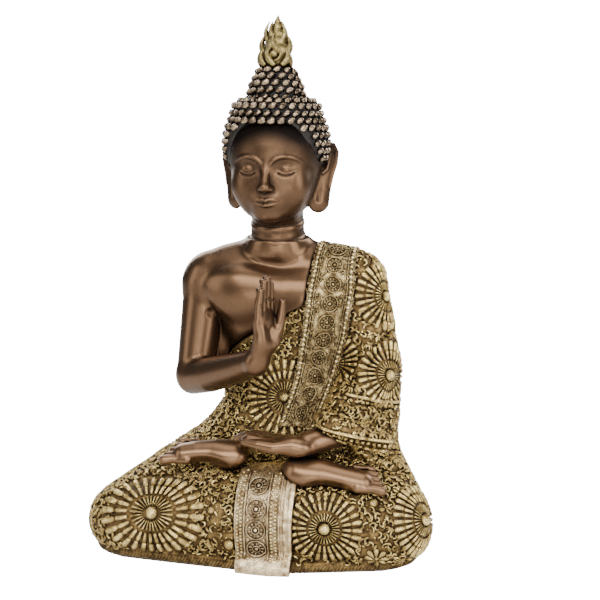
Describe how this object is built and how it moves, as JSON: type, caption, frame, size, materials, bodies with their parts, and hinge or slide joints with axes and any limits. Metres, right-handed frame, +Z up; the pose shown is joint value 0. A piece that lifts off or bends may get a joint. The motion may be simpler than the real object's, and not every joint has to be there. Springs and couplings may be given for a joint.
{
  "type": "seated buddha statue",
  "caption": "Seated Buddha statue in cast resin: ornamented robe, bare right arm with raised open hand, left hand in the lap, hair of small curls and a flame finial.",
  "frame": {"origin": "on the table under the spine, at the underside of the felt pad", "axes": "+Z up, the statue faces -Y, its left hand side is +X"},
  "size_m": [0.1936, 0.1123, 0.3],
  "materials": {
    "gilded_robe": "cast resin with antique gold paint and a dark patina in the recesses",
    "gilded_sash": "cast resin with antique gold paint, lighter than the robe",
    "gilded_beads": "moulded beads with antique gold paint, rubbed bright on top",
    "bronze_skin": "cast resin with satin copper-bronze paint, shaded darker in the recesses",
    "dark_curls": "cast resin, near-black brown paint with gold-bronze brushed on the tips of the curls",
    "pale_gold": "cast resin with pale gold paint",
    "resin": "bare brown resin",
    "green_felt": "dark green felt",
    "rubber": "soft black rubber",
    "steel": "plain drawn steel rod"
  },
  "bodies": {
    "root": {"robe_legs": "gilded_robe", "robe_body": "gilded_robe", "shoulder_sash": "gilded_sash", "front_panel": "gilded_sash", "neckline_border": "gilded_beads", "sash_border_inner": "gilded_beads", "sash_border_outer": "gilded_beads", "panel_border_left": "gilded_beads", "panel_border_right": "gilded_beads", "bare_torso": "bronze_skin", "head": "bronze_skin", "right_arm": "bronze_skin", "left_hand": "bronze_skin", "right_foot": "bronze_skin", "left_foot": "bronze_skin", "hair_cap": "dark_curls", "flame_finial": "pale_gold", "base_plate": "resin", "felt_pad": "green_felt", "filling_plug": "rubber", "neck_dowel": "steel", "finial_pin": "steel", "shoulder_dowel": "steel", "waist_dowel_left": "steel", "waist_dowel_right": "steel", "wrist_pin": "steel"}
  },
  "joints": []
}
